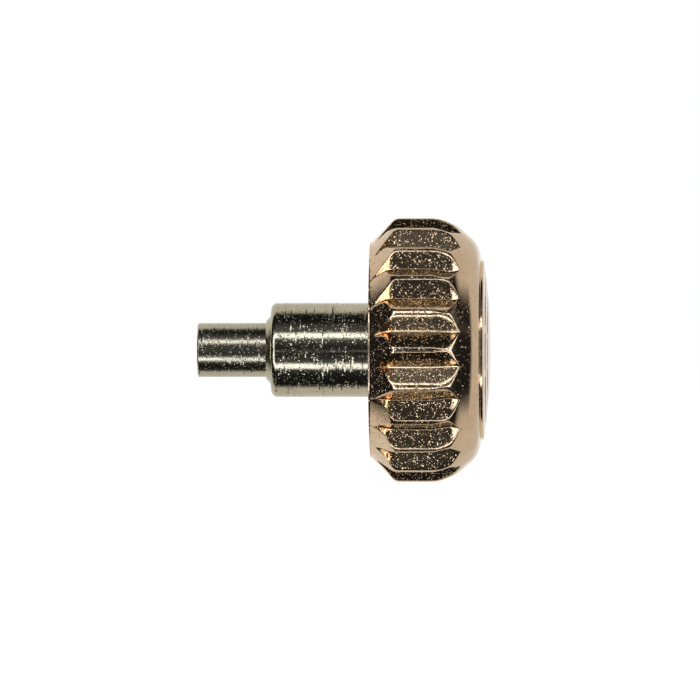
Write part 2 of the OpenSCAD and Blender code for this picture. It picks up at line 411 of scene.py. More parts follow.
def roseGoldMaterial():
    material, tree, shader, place = newMaterial("roseGold")
    attribute = addNode(tree, "ShaderNodeAttribute", attribute_name="groove")
    inFlute = Value(tree, attribute.outputs["Fac"]).ramp(*gold["grooveDepths"])
    along = Value(tree, addNode(tree, "ShaderNodeSeparateXYZ", {"Vector": place}).outputs["X"]) / mm
    # the cutter's marks are in the flutes and on the lands between them
    cut = inFlute.math("MAXIMUM", along.ramp(*gold["cutStart"]) * along.ramp(*gold["cutEnd"]))
    cloud = noise(tree, place, gold["cloudScale"], detail=3.0)
    patch = noise(tree, place, gold["patchScale"])
    grain = noise(tree, place, gold["grainScale"], detail=3.0, roughness=0.65)
    rings = noise(tree, stretched(tree, place, gold["ringScale"]), 1.0)
    dust = noise(tree, place, gold["dustScale"], detail=1.0).ramp(*gold["dustRange"])
    clump = noise(tree, place, gold["clumpScale"], detail=3.0, roughness=0.6).ramp(*gold["clumpRange"])
    polished = colorMix(tree, cloud.ramp(*gold["cloudRange"]), gold["color"], gold["deepColor"])
    # painted shade: the flutes get the darker gold, turning a painted orange towards the tails, for light
    # bounced between their flanks
    inTail = along.ramp(*gold["paintedBounceStart"])
    paintedFluteShade = colorMix(tree, inTail, gold["paintedFluteShade"], gold["paintedTailBounce"])
    connect(tree, colorMix(tree, inFlute, polished, paintedFluteShade), shader.inputs["Base Color"])
    shader.inputs["Metallic"].default_value = 1.0
    rough = inFlute * (gold["fluteRoughness"] - gold["roughness"]) + gold["roughness"]
    connect(tree, rough + (cloud - 0.5) * gold["cloudRoughness"], shader.inputs["Roughness"])
    height = grain * (cut * gold["cutGrainDepth"] + gold["grainDepth"]) + dust * gold["dustDepth"]
    ringDepth = cut * patch.ramp(*gold["patchRange"]) * gold["cutRingDepth"] + gold["ringDepth"]
    normal = bump(tree, height + rings * ringDepth)
    cutShare = clump * gold["cutClumpShare"] + gold["cutShare"]
    plainShare = clump * gold["clumpShare"] + along.ramp(*gold["coneStart"]) * gold["coneShare"]
    share = cut * cutShare + plainShare * (1.0 - cut)
    tilt = cut * (gold["cutFlakeTilt"] - gold["flakeTilt"]) + gold["flakeTilt"]
    tree.links.new(flakes(tree, place, gold["flakeScale"], share, tilt, normal), shader.inputs["Normal"])
    return material


# steel

steelWear = {
    # scales are in 1 / metres, and pairs say where something begins and is full
    "cloudScale": 1100.0,
    "cloudRange": (0.3, 0.75),
    "cloudShade": 0.88,
    "cloudRoughness": 0.08,
    "patchScale": 2300.0,
    "grainScale": 30000.0,
    "patchGrain": 1.6,
    "evenGrain": 0.2,
    "ringScale": (34000.0, 500.0, 500.0),
    "ringRange": (0.35, 0.6),
    "pitScale": 17000.0,
    "pitRange": (0.62, 0.70),
    "pitRoughness": 0.2,
    "flakeScale": 40000.0,
    "flakeRange": (0.45, 0.8),
    "flakeShare": 0.4,
    "evenFlakeShare": 0.04,
    "scratchScale": 44000.0,
    "scratchStretch": (1.0, 0.04, 0.04),
    "scratchRange": (0.35, 0.65),
    "scratchShare": 0.3,
}


def steelMaterial(name, color, roughness, grainDepth, ringDepth, pitDepth, flakeTilt=0.0):
    # depths in mm; flakeTilt gives worn steel its facets and its scratches round the axis
    wear = steelWear
    material, tree, shader, place = newMaterial(name)
    cloud = noise(tree, place, wear["cloudScale"], detail=3.0)
    patch = noise(tree, place, wear["patchScale"])
    grain = noise(tree, place, wear["grainScale"], detail=3.0, roughness=0.6)
    rings = noise(tree, stretched(tree, place, wear["ringScale"]), 1.0, detail=3.0)
    pits = noise(tree, place, wear["pitScale"], roughness=0.6).ramp(*wear["pitRange"])
    darker = tuple(c * wear["cloudShade"] for c in color)
    shade = colorMix(tree, cloud.ramp(*wear["cloudRange"]), color, darker)
    connect(tree, shade, shader.inputs["Base Color"])
    shader.inputs["Metallic"].default_value = 1.0
    rough = (cloud - 0.5) * wear["cloudRoughness"] + pits * wear["pitRoughness"] + roughness
    connect(tree, rough, shader.inputs["Roughness"])
    height = grain * (patch * wear["patchGrain"] + wear["evenGrain"]) * grainDepth
    height = height + rings * patch.ramp(*wear["ringRange"]) * ringDepth - pits * pitDepth
    normal = bump(tree, height)
    if flakeTilt:
        share = patch.ramp(*wear["flakeRange"]) * wear["flakeShare"] + wear["evenFlakeShare"]
        normal = flakes(tree, place, wear["flakeScale"], share, flakeTilt, normal)
        drawn = stretched(tree, place, wear["scratchStretch"])
        share = patch.ramp(*wear["scratchRange"]) * wear["scratchShare"]
        normal = flakes(tree, drawn, wear["scratchScale"], share, flakeTilt, normal)
    tree.links.new(normal, shader.inputs["Normal"])
    return material


# gasket rubber

rubber = {
    "darkColor": (0.022, 0.022, 0.024),
    "paleColor": (0.045, 0.045, 0.047),
    "roughness": 0.72,
    "grainScale": 16000.0,
    "grainDepth": 0.002,
}


def rubberMaterial():
    material, tree, shader, place = newMaterial("gasketRubber")
    grain = noise(tree, place, rubber["grainScale"], detail=3.0)
    color = colorMix(tree, grain, rubber["darkColor"], rubber["paleColor"])
    connect(tree, color, shader.inputs["Base Color"])
    shader.inputs["Roughness"].default_value = rubber["roughness"]
    tree.links.new(bump(tree, grain, rubber["grainDepth"]), shader.inputs["Normal"])
    return material


wornSteel = (0.60, 0.57, 0.45)
roseGold = roseGoldMaterial()
sleeveSteel = steelMaterial(
    "sleeveSteel", wornSteel, roughness=0.10,
    grainDepth=0.0016, ringDepth=0.0010, pitDepth=0.0020, flakeTilt=0.42,
)
pipeSteel = steelMaterial(
    "pipeSteel", wornSteel, roughness=0.19,
    grainDepth=0.0020, ringDepth=0.0006, pitDepth=0.0030, flakeTilt=0.25,
)
bushSteel = steelMaterial(
    "bushSteel", (0.58, 0.56, 0.44), roughness=0.20,
    grainDepth=0.0040, ringDepth=0.0030, pitDepth=0.0030,
)
insertSteel = steelMaterial(
    "insertSteel", (0.62, 0.61, 0.57), roughness=0.18,
    grainDepth=0.0010, ringDepth=0.0016, pitDepth=0.0010,
)
springSteel = steelMaterial(
    "springSteel", (0.56, 0.56, 0.55), roughness=0.20,
    grainDepth=0.0008, ringDepth=0.0004, pitDepth=0.0010,
)
gasketRubber = rubberMaterial()
print("Materials made")


# crown cap

cap = {
    "radius": 3.0,
    "height": 2.65,
    "pocketDepth": 2.0,
    "pocketRadius": 2.2,
    "rimRadius": 2.445,
    "rimBand": 0.03,
    "rimFillet": 0.018,
    "fillet": 0.02,
    "coneTop": 0.57,
    "coneRound": 0.22,
    "rowGap": 0.035,  # between rows on the cone and on the straight flutes
    "longGap": 0.1,  # only a stretch longer than this gets more rows
    "shoulderRadius": 1.05,
    "shoulderSlope": 41.0,
    "shoulderSteps": 18,
    "slopeSteps": 10,
    "browRadius": 0.66,
    "browSteps": 9,
    "domeEdge": 2.15,
    "domeCurve": 14.0,
    "discHeight": 0.06,
    "discFoot": 0.012,  # fillets at the raised rings' feet and edges
    "discEdge": 0.014,
    "discRows": (0.8, 0.6, 0.4, 0.2),
    "bands": ((2.03, 1.675), (1.565, 1.235), (1.125, 0.0)),
    "flutes": 22,
    "flutedOutside": 2.3,  # the flutes are only outside this radius and before this x
    "flutedBefore": 2.2,
    "valleyRadius": 2.74,
    "flankLean": 1.25,  # degrees; one flank of each V is a little steeper than the other
    "landWidth": 0.107,
    "leastOpening": 0.012,  # radians; the V keeps this where there is no groove
    "tailStart": 0.517,  # behind this each flute falls towards the rim
    "tailFall": 0.518,
    "tailBend": 0.18,
    "tailCurve": 0.55,
    "tailSteepness": 0.9,  # added to the flank that is the lower one in front, full between these places
    "steepFront": (0.5, 0.36),
    "steepRear": (0.12, 0.26),
    "tailEndDepth": 0.016,
    "tailEndSmoothing": 0.03,
    "tailEndFront": (0.4, 0.6),  # past this the tail's scratch is lifted clear of the gold
    "tailEndLift": 3.0,
    "tailRounding": 0.05,
    "tailBlend": 0.1,
    "dipStart": 1.45,  # towards the shoulder each flute sinks a little, then climbs out
    "dipEnd": 1.83,
    "dipDepth": 0.1,
    "dipSmoothing": 0.08,
    "climbSmoothing": 0.05,
    "fluteEnd": 2.06,
    "edgeRounding": 0.035,
    "tailEdgeLoss": 0.4,  # the edges are sharper by these shares in the tails and past the polish
    "polishEdgeLoss": 0.6,
    "polishedRounding": 0.09,  # where the shoulder's polishing has worn the flutes' edges
    "polishedAt": 1.80,
    "polishReach": 0.28,
    "polishPast": 0.2,
    "valleyRounding": 0.012,
    "flankColumns": 9,
    "landColumns": 5,
    "smoothAngle": 60,
}


def spread(start, end, steps):
    # points after start, up to and with end
    return [
        (start[0] + (end[0] - start[0]) * i / steps, start[1] + (end[1] - start[1]) * i / steps)
        for i in range(1, steps + 1)
    ]


def capProfile():
    # the blank's outline from the pocket's floor round the rim to the middle of the dome
    edgeAngle = math.asin(cap["domeEdge"] / cap["domeCurve"])
    domeX = cap["height"] - cap["domeCurve"]
    brow = (
        domeX + (cap["domeCurve"] - cap["browRadius"]) * math.cos(edgeAngle),
        (cap["domeCurve"] - cap["browRadius"]) * math.sin(edgeAngle),
    )
    slope = math.radians(cap["shoulderSlope"])
    shoulderX = (
        math.cos(slope) * (brow[1] - cap["radius"] + cap["shoulderRadius"])
        + math.sin(slope) * brow[0] + cap["browRadius"] - cap["shoulderRadius"]
    ) / math.sin(slope)
    rear = roundCorners([
        (cap["pocketDepth"], 0.0),
        (cap["pocketDepth"], cap["pocketRadius"], cap["fillet"]),
        (0.0, cap["pocketRadius"], cap["fillet"]),
        (0.0, cap["rimRadius"], cap["rimFillet"]),
        (cap["rimBand"], cap["rimRadius"], cap["fillet"]),
        (cap["coneTop"], cap["radius"], cap["coneRound"]),
        (shoulderX, cap["radius"]),
    ])
    # more rows on the cone and on the straight flutes
    rows = [rear[0]]
    for point in rear[1:]:
        gap = math.dist(rows[-1], point)
        fluted = point[1] > cap["rimRadius"] and gap > cap["longGap"]
        rows += spread(rows[-1], point, round(gap / cap["rowGap"]) if fluted else 1)
    shoulder = (shoulderX, cap["radius"] - cap["shoulderRadius"])
    rows += arcPoints(shoulder, cap["shoulderRadius"], 0, cap["shoulderSlope"], cap["shoulderSteps"])[1:]
    browEnd = 90 - math.degrees(edgeAngle)
    browArc = arcPoints(brow, cap["browRadius"], cap["shoulderSlope"], browEnd, cap["browSteps"])
    rows += spread(rows[-1], browArc[0], cap["slopeSteps"]) + browArc[1:]

    def onDome(radius, lift=0.0):
        curve = cap["domeCurve"] + lift
        return (domeX + math.sqrt(curve**2 - radius**2), radius)

    # the plain raised rings and the disc in their middle
    lift, foot, edge = cap["discHeight"], cap["discFoot"], cap["discEdge"]
    corners = [browArc[-1]]
    for outer, inner in cap["bands"]:
        corners += [(*onDome(outer), foot), (*onDome(outer, lift), edge)]
        if inner:
            corners += [onDome((outer + inner) / 2, lift)]
            corners += [(*onDome(inner, lift), edge), (*onDome(inner), foot)]
        else:
            corners += [onDome(outer * share, lift) for share in cap["discRows"]]
            corners += [onDome(0.0, lift)]
    return rows + roundCorners(corners, 3)[1:]


def radiusAt(rows, x):
    # the blank's radius at a place on the shoulder
    for (x0, r0), (x1, r1) in zip(rows, rows[1:]):
        if x0 <= x <= x1 and min(r0, r1) > cap["pocketRadius"]:
            return r0 + (r1 - r0) * (x - x0) / (x1 - x0)


def capSizes(rows):
    # the inputs of the cap's tree
    halfWidth = cap["radius"] * math.sin(math.pi / cap["flutes"]) - cap["landWidth"] / 2
    depth = math.sqrt(cap["radius"] ** 2 - halfWidth**2) - cap["valleyRadius"]
    steepness = math.atan(depth / halfWidth)
    leanRatio = math.radians(cap["flankLean"]) / (math.sin(steepness) * math.cos(steepness))
    return namedSizes(cap, (
        "Flutes", "Flank Columns", "Land Columns", "Valley Radius", "Tail Start", "Tail Fall", "Tail Bend",
        "Tail Curve", "Tail Steepness", "Tail End Depth", "Tail Rounding", "Dip Start", "Dip End",
        "Dip Depth", "Flute End", "Edge Rounding", "Polished Rounding", "Polished At", "Valley Rounding",
    )) | {
        "Flank Slope": halfWidth / depth,
        "Half Width": halfWidth,
        "Lean Ratio": leanRatio,
        "End Radius": radiusAt(rows, cap["fluteEnd"]),
    }


def flutedTree(material, sizes):
    tree, start, v = newNodeGroup("Fluted Cap", sizes)
    rowsMesh = start.outputs["Geometry"]
    counted = addNode(tree, "GeometryNodeAttributeDomainSize", {"Geometry": rowsMesh})
    rowCount = Value(tree, counted.outputs["Point Count"])
    halfColumns = v["Flank Columns"] + v["Land Columns"]
    perFlute = halfColumns * 2.0
    columnCount = perFlute * v["Flutes"] + 1.0
    grid, across, along = gridOf(tree, columnCount, rowCount)
    # row: the blank's outline at this point
    outline = addNode(tree, "GeometryNodeSampleIndex", data_type="FLOAT_VECTOR", domain="POINT")
    tree.links.new(rowsMesh, outline.inputs["Geometry"])
    tree.links.new(addNode(tree, "GeometryNodeInputPosition").outputs[0], outline.inputs["Value"])
    connect(tree, (along * (rowCount - 1.0)).math("ROUND"), outline.inputs["Index"])
    profile = addNode(tree, "ShaderNodeSeparateXYZ", {"Vector": outline.outputs["Value"]})
    x = Value(tree, profile.outputs["X"]) / mm
    blank = Value(tree, profile.outputs["Y"]) / mm
    # column: which flute, and how far from its middle; a nudge keeps whole numbers whole
    nudge = 0.0001
    column = (across * (columnCount - 1.0)).math("ROUND")
    flute = (column / perFlute + nudge).math("FLOOR")
    step = column - flute * perFlute - halfColumns
    side = step.math("SIGN")
    count = step.math("ABSOLUTE")
    # the V's valley at this row: straight, with a dip and a climb at the shoulder
    sink = v["Dip Depth"] / (v["Dip End"] - v["Dip Start"])
    pastDip = (x - v["Dip Start"]).math("SMOOTH_MAX", 0.0, cap["dipSmoothing"])
    lowest = v["Valley Radius"] - v["Dip Depth"]
    climb = (v["End Radius"] - lowest) / (v["Flute End"] - v["Dip End"])
    climbing = (x - v["Dip End"]) * climb + lowest
    valley = (v["Valley Radius"] - pastDip * sink).math("SMOOTH_MAX", climbing, cap["climbSmoothing"])
    # in the tail it falls, curves aside and ends as a scratch down to the rim
    behind = (v["Tail Start"] - x).math("SMOOTH_MAX", 0.0, v["Tail Bend"])
    scratch = blank - v["Tail End Depth"] + x.ramp(*cap["tailEndFront"]) * cap["tailEndLift"]
    valley = (valley - v["Tail Fall"] * behind).math("SMOOTH_MIN", scratch, cap["tailEndSmoothing"])
    shift = v["Tail Curve"] * behind * behind - v["Lean Ratio"] * v["Half Width"]
    # rise of each flank for its width; the lean makes one steeper, and part of the tail the other
    slope = v["Flank Slope"]
    inBend = x.ramp(*cap["steepFront"]) * x.ramp(*cap["steepRear"])
    steeper = inBend * v["Tail Steepness"] + 1.0
    rise = {1.0: (1.0 - v["Lean Ratio"]) / slope * steeper, -1.0: (v["Lean Ratio"] + 1.0) / slope}
    valleyAngle = (shift / valley).math("ARCTANGENT")
    least = 0.05  # keeps divisors away from zero

    def edgeAngle(sign):
        # where this flank of the V leaves the blank
        tilt = rise[sign]
        tiltAngle = tilt.math("ARCTANGENT")
        stretch = (tilt * tilt + 1.0).math("SQRT")
        cosine = (valley - shift * tilt * sign) / (blank.math("MAXIMUM", least) * stretch)
        opened = (tiltAngle + cap["leastOpening"]).math("COSINE")
        return cosine.math("MINIMUM", opened).math("ARCCOSINE") - tiltAngle

    plus, minus = edgeAngle(1.0), -edgeAngle(-1.0)
    pitch = v["Flutes"].math("POWER", -1.0) * (2 * math.pi)
    edge = side.math("GREATER_THAN", 0.0) * (plus - minus) + minus
    landMiddle = side * pitch * 0.5 + (plus + minus) * 0.5
    onFlank = (count / v["Flank Columns"]).math("MINIMUM", 1.0)
    onLand = ((count - v["Flank Columns"]) / v["Land Columns"]).clamp()
    # columns stand closer at the valley and at the land's edge
    flankWarp = 0.5 - (onFlank * math.pi).math("COSINE") * 0.5
    landWarp = 1.0 - (onLand * (math.pi / 2)).math("COSINE")
    fromMiddle = valleyAngle + (edge - valleyAngle) * flankWarp + (landMiddle - edge) * landWarp
    # radius: the lesser of the blank and the V's flanks, with both edges rounded
    cosine, sine = fromMiddle.math("COSINE"), fromMiddle.math("SINE")
    flankPlus = (valley - shift * rise[1.0]) / (cosine - sine * rise[1.0]).math("MAXIMUM", least)
    flankMinus = (valley + shift * rise[-1.0]) / (cosine + sine * rise[-1.0]).math("MAXIMUM", least)
    inTail = behind.ramp(0.0, cap["tailBlend"])
    valleyRounding = v["Valley Rounding"] + (v["Tail Rounding"] - v["Valley Rounding"]) * inTail
    groove = flankPlus.math("SMOOTH_MAX", flankMinus, valleyRounding)
    fluted = blank.math("GREATER_THAN", cap["flutedOutside"]) * x.math("LESS_THAN", cap["flutedBefore"])
    nearPolish = (x - v["Polished At"]).math("ABSOLUTE").ramp(cap["polishReach"], 0.0)
    pastPolish = (x - v["Polished At"]).ramp(0.0, cap["polishPast"])
    rounding = v["Edge Rounding"] * (1.0 - pastPolish * cap["polishEdgeLoss"])
    rounding = rounding * (1.0 - inTail * cap["tailEdgeLoss"])
    rounding = rounding + (v["Polished Rounding"] - v["Edge Rounding"]) * nearPolish
    cut = blank.math("SMOOTH_MIN", groove, rounding)
    radius = blank + (cut - blank) * fluted
    stored = {"Geometry": grid, "Name": "groove", "Value": blank - radius}
    store = addNode(tree, "GeometryNodeStoreNamedAttribute", stored, data_type="FLOAT", domain="POINT")
    place = aroundAxis(tree, x, radius, flute * pitch + fromMiddle)
    endTree(tree, movedAndWelded(tree, store.outputs[0], place), material)
    return tree


def makeCap():
    rows = capProfile()
    sizes = capSizes(rows)
    piece = bakeNodes(newSource("capOutline", rows), flutedTree(roseGold, sizes), sizes, "flutedCap")
    weld(piece.data, cap["smoothAngle"])
    print("Cap:", len(rows), "rows,", len(piece.data.polygons), "faces")
    finishPiece(piece, "crown_head", "rose_gold", roseGold, "crown_cap")


makeCap()


# wound threads

thread = {
    "corners": 5,  # the last closes on the first foot
    "runOut": 0.5,  # turns over which each end runs out, down to the stub's share of the height
    "stub": 0.03,
    "footShare": 0.47,  # half a foot's width in pitches
    "smoothAngle": 30,
}


def threadTree(material, sizes):
    # a ridge wound round the X axis; its foot is sunk in the wall and its ends run out
    tree, start, v = newNodeGroup("Wound Thread", sizes)
    steps = (v["Turns"] * v["Steps Per Turn"]).math("ROUND") + 1.0
    grid, along, across = gridOf(tree, steps, thread["corners"])
    corner = (across * (thread["corners"] - 1.0)).math("ROUND")
    # corners 0 and 4 are one foot, 1 and 2 the crest, 3 the other foot
    isCrest = corner.math("COMPARE", 1.5, 0.6)
    isFront = corner.math("COMPARE", 2.5, 0.6)
    ends = (along * v["Turns"] / thread["runOut"]).clamp()
    ends = ends * ((1.0 - along) * v["Turns"] / thread["runOut"]).clamp()
    foot = v["Root Radius"] + v["Foot"]
    height = ends * (1.0 - thread["stub"]) + thread["stub"]
    radius = foot + (v["Crest Radius"] - foot) * isCrest * height
    halfFoot = v["Pitch"] * thread["footShare"]
    half = halfFoot + (v["Crest Width"] * 0.5 - halfFoot) * isCrest
    centre = v["Start"] + v["Pitch"] * v["Turns"] * along
    angle = along * v["Turns"] * (2 * math.pi)
    place = aroundAxis(tree, centre + half * (isFront * 2.0 - 1.0), radius, angle)
    endTree(tree, movedAndWelded(tree, grid, place), material)
    return tree


def closeEnds(mesh):
    work = bmesh.new()
    work.from_mesh(mesh)
    bmesh.ops.holes_fill(work, edges=[e for e in work.edges if e.is_boundary], sides=8)
    work.to_mesh(mesh)
    work.free()


def makeThread(name, material, values, begin, turns):
    labels = ("Pitch", "Root Radius", "Crest Radius", "Crest Width", "Steps Per Turn", "Foot")
    sizes = namedSizes(values, labels) | {"Start": begin, "Turns": turns}
    piece = bakeNodes(newSource(name), threadTree(material, sizes), sizes, name)
    closeEnds(piece.data)
    weld(piece.data, thread["smoothAngle"])
    return piece


# thread insert

insert = {
    "outerRadius": 2.2,
    "rear": 0.08,
    "front": 2.0,
    "cavityFloor": 1.70,
    "neckRadius": 0.905,
    "crestRadius": 1.75,
    "rootRadius": 1.86,
    "pitch": 0.25,
    "threadStart": 0.16,
    "threadEnd": 1.20,
    "crestWidth": 0.035,
    "foot": 0.03,
    "stepsPerTurn": 120,
    "reliefRear": 0.07,  # the thread's groove goes on this far past its ends
    "reliefFront": 0.06,
    "reliefSlope": 0.06,
    "mouthChamfer": 0.12,
    "fillet": 0.03,
    "neckFillet": 0.02,
    "columns": 160,
}


def makeInsert():
    reliefEnd = insert["threadEnd"] + insert["reliefFront"]
    profile = roundCorners([
        (insert["rear"], insert["crestRadius"] + insert["mouthChamfer"]),
        (insert["rear"], insert["outerRadius"], insert["fillet"]),
        (insert["front"], insert["outerRadius"], insert["fillet"]),
        (insert["front"], insert["neckRadius"]),
        (insert["cavityFloor"], insert["neckRadius"], insert["neckFillet"]),
        (insert["cavityFloor"], insert["crestRadius"], insert["fillet"]),
        (reliefEnd + insert["reliefSlope"], insert["crestRadius"]),
        (reliefEnd, insert["rootRadius"]),
        (insert["threadStart"] - insert["reliefRear"], insert["rootRadius"]),
    ])
    piece = turnedPiece("threadInsert", profile, insert["columns"])
    turns = (insert["threadEnd"] - insert["threadStart"]) / insert["pitch"]
    joinInto(piece, makeThread("insertThread", insertSteel, insert, insert["threadStart"], turns))
    finishPiece(piece, "crown_head", "insert_steel", insertSteel, "thread_insert")


makeInsert()
print("Thread insert made")


# gasket

gasket = {
    "outerRadius": 1.75,
    "innerRadius": 0.905,
    "clear": 0.01,  # keeps its sides off the insert's bore and the sleeve's neck
    "rear": 1.23,
    "front": 1.58,
    "edge": 0.07,
    "edgeSteps": 5,
    "seam": 0.001,
    "columns": 128,
}


def makeGasket():
    edge = gasket["edge"]
    outer = gasket["outerRadius"] - gasket["clear"]
    inner = gasket["innerRadius"] + gasket["clear"]
    middle = (gasket["outerRadius"] + gasket["innerRadius"]) / 2
    profile = roundCorners([
        (gasket["rear"], middle),
        (gasket["rear"], outer, edge),
        (gasket["front"], outer, edge),
        (gasket["front"], inner, edge),
        (gasket["rear"], inner, edge),
        (gasket["rear"], middle - gasket["seam"]),
    ], gasket["edgeSteps"])
    piece = turnedPiece("cavityGasket", profile, gasket["columns"])
    finishPiece(piece, "crown_head", "gasket_rubber", gasketRubber, "cavity_gasket")


makeGasket()


# stem sleeve

sleeve = {
    "radius": 1.065,
    "mouth": -2.24,
    "mouthRound": 0.22,
    "shoulder": 1.20,
    "shoulderFillet": 0.03,
    "neckRadius": 0.905,
    "neckFillet": 0.02,
    "innerEnd": 2.0,
    "boreEdge": 0.80,
    "broachFlats": 1.34,
    "bushRadius": 0.7837,
    "bushEnd": -1.77,
    "edgeSteps": 10,
    "columns": 192,
}


def makeSleeve():
    outer = roundCorners([
        (sleeve["mouth"], sleeve["bushRadius"]),
        (sleeve["mouth"], sleeve["radius"], sleeve["mouthRound"]),
        (sleeve["shoulder"], sleeve["radius"], sleeve["shoulderFillet"]),
        (sleeve["shoulder"], sleeve["neckRadius"]),
        (sleeve["innerEnd"], sleeve["neckRadius"], sleeve["neckFillet"]),
        (sleeve["innerEnd"], sleeve["boreEdge"]),
    ], sleeve["edgeSteps"])
    flats = ("hex", sleeve["broachFlats"])
    bushEnd = sleeve["bushEnd"]
    inner = [(sleeve["innerEnd"], flats), (bushEnd, flats), (bushEnd, sleeve["bushRadius"])]
    piece = turnedPiece("stemSleeve", outer + inner, sleeve["columns"])
    finishPiece(piece, "crown_head", "sleeve_steel", sleeveSteel, "stem_sleeve")


makeSleeve()


# guide bush

bush = {
    "radius": 0.7837,
    "boreRadius": 0.64,
    "mouth": -2.35,
    "coneEnd": -2.24,
    "coneRound": 0.06,
    "lip": 0.02,
    "fillet": 0.01,
    "innerEnd": -1.77,
    "edgeSteps": 5,
    "columns": 160,
}


def makeBush():
    profile = roundCorners([
        (bush["mouth"], bush["boreRadius"]),
        (bush["mouth"], bush["boreRadius"] + bush["lip"], bush["fillet"]),
        (bush["coneEnd"], bush["radius"], bush["coneRound"]),
        (bush["innerEnd"], bush["radius"], bush["fillet"]),
        (bush["innerEnd"], bush["boreRadius"]),
    ], bush["edgeSteps"])
    piece = turnedPiece("guideBush", profile, bush["columns"])
    finishPiece(piece, "crown_head", "bush_steel", bushSteel, "guide_bush")


makeBush()


# stem pipe

pipe = {
    "radius": 0.61,
    "end": -3.90,
    "headStart": -1.77,
    "headLength": 1.0,
    "headFlats": 1.28,
    "crestRadius": 0.45,
    "rootRadius": 0.505,
    "pitch": 0.2,
    "boreDepth": 1.6,
    "drillAngle": 31,  # degrees; the slope of the bore's end
    "crestWidth": 0.03,
    "foot": 0.02,
    "stepsPerTurn": 64,
    "threadInset": 0.09,  # the thread starts this far in
    "threadLeft": 0.28,  # and is this much shorter than the bore
    "reliefEnd": 0.08,
    "reliefSlope": 0.05,
    "mouthDepth": 0.04,
    "mouthWidth": 0.03,
    "chamfer": 0.03,
    "fillet": 0.01,
    "columns": 144,
}


def makePipe():
    boreEnd = pipe["end"] + pipe["boreDepth"]
    headEnd = pipe["headStart"] + pipe["headLength"]
    reliefEnd = boreEnd - pipe["reliefEnd"]
    mouthRadius = pipe["rootRadius"] + pipe["mouthWidth"]
    flats = ("hex", pipe["headFlats"])
    inside = [
        (boreEnd + pipe["crestRadius"] * math.tan(math.radians(pipe["drillAngle"])), 0.0),
        (boreEnd, pipe["crestRadius"]),
        (reliefEnd, pipe["crestRadius"]),
        (reliefEnd - pipe["reliefSlope"], pipe["rootRadius"]),
        (pipe["end"] + pipe["mouthDepth"], pipe["rootRadius"]),
        (pipe["end"], mouthRadius),
    ]
    outside = roundCorners([
        (pipe["end"], mouthRadius),
        (pipe["end"], pipe["radius"] - pipe["chamfer"], pipe["fillet"]),
        (pipe["end"] + pipe["chamfer"], pipe["radius"], pipe["fillet"]),
        (pipe["headStart"], pipe["radius"]),
    ])
    head = [(pipe["headStart"], flats), (headEnd, flats), (headEnd, 0.0)]
    piece = turnedPiece("stemPipe", inside + outside[1:] + head, pipe["columns"], closed=False)
    threadStart = pipe["end"] + pipe["threadInset"]
    turns = (pipe["boreDepth"] - pipe["threadLeft"]) / pipe["pitch"]
    joinInto(piece, makeThread("stemThread", pipeSteel, pipe, threadStart, turns))
    finishPiece(piece, "sliding_pipe", "pipe_steel", pipeSteel, "stem_pipe")


makePipe()
print("Sleeve, bush and pipe made")


# return spring

spring = {
    "start": -0.77,
    "end": 1.85,
    "coilRadius": 0.55,
    "wire": 0.16,
    "turns": 3.5,
    "bendShare": 0.06,
    "sides": 12,
    "stepsPerTurn": 28,
    "smoothAngle": 50,
}


def springTree(material, sizes):
    tree, start, v = newNodeGroup("Return Spring", sizes)
    steps = (v["Turns"] * v["Steps Per Turn"]).math("ROUND")
    line = addNode(tree, "GeometryNodeMeshLine", {"Count": steps}, mode="OFFSET")
    index = Value(tree, addNode(tree, "GeometryNodeInputIndex").outputs[0])
    # one point more at each end runs the wire straight into the seat and the head
    inner = ((index - 1.0) / (steps - 3.0)).clamp()
    isEnd = index.math("LESS_THAN", 0.5) + index.math("GREATER_THAN", steps - 1.5)
    # the share of the turns that is wound grows gently over the bends, steadily between them
    bend = v["Bend Share"]
    gentle = bend * (1.0 - bend) * 2.0
    early = inner * inner / gentle
    rest = 1.0 - inner
    late = 1.0 - rest * rest / gentle
    steady = (inner - bend * 0.5) / (1.0 - bend)
    isEarly, isLate = inner.math("LESS_THAN", bend), rest.math("LESS_THAN", bend)
    wound = early * isEarly + late * isLate + steady * (1.0 - isEarly) * (1.0 - isLate)
    inset = v["Wire"] * (1.0 - isEnd)
    x = v["Start"] + inset + (v["End"] - v["Start"] - inset * 2.0) * inner
    place = aroundAxis(tree, x, v["Coil Radius"], wound * v["Turns"] * (2 * math.pi))
    path = addNode(tree, "GeometryNodeSetPosition", {"Geometry": line.outputs[0], "Position": place})
    curve = addNode(tree, "GeometryNodeMeshToCurve", {"Mesh": path.outputs[0]})
    ring = addNode(tree, "GeometryNodeCurvePrimitiveCircle", {"Resolution": v["Sides"]}, mode="RADIUS")
    connect(tree, v["Wire"] * (0.5 * mm), ring.inputs["Radius"])
    sweep = {"Curve": curve.outputs[0], "Profile Curve": ring.outputs[0], "Fill Caps": True}
    endTree(tree, addNode(tree, "GeometryNodeCurveToMesh", sweep).outputs[0], material)
    return tree


def makeSpring():
    labels = ("Start", "End", "Coil Radius", "Wire", "Turns", "Bend Share", "Steps Per Turn", "Sides")
    sizes = namedSizes(spring, labels)
    piece = bakeNodes(newSource("springLine"), springTree(springSteel, sizes), sizes, "returnSpring")
    weld(piece.data, spring["smoothAngle"])
    finishPiece(piece, "crown_head", "spring_steel", springSteel, "return_spring")
    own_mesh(piece)


makeSpring()
print("Return spring made")

# the plain discs stay as the CAD has them, with their finish
for nodeName in ("spring_seat", "gasket_washer"):
    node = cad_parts[nodeName]
    node.data.materials.clear()
    node.data.materials.append(insertSteel)


# surroundings that the metal mirrors

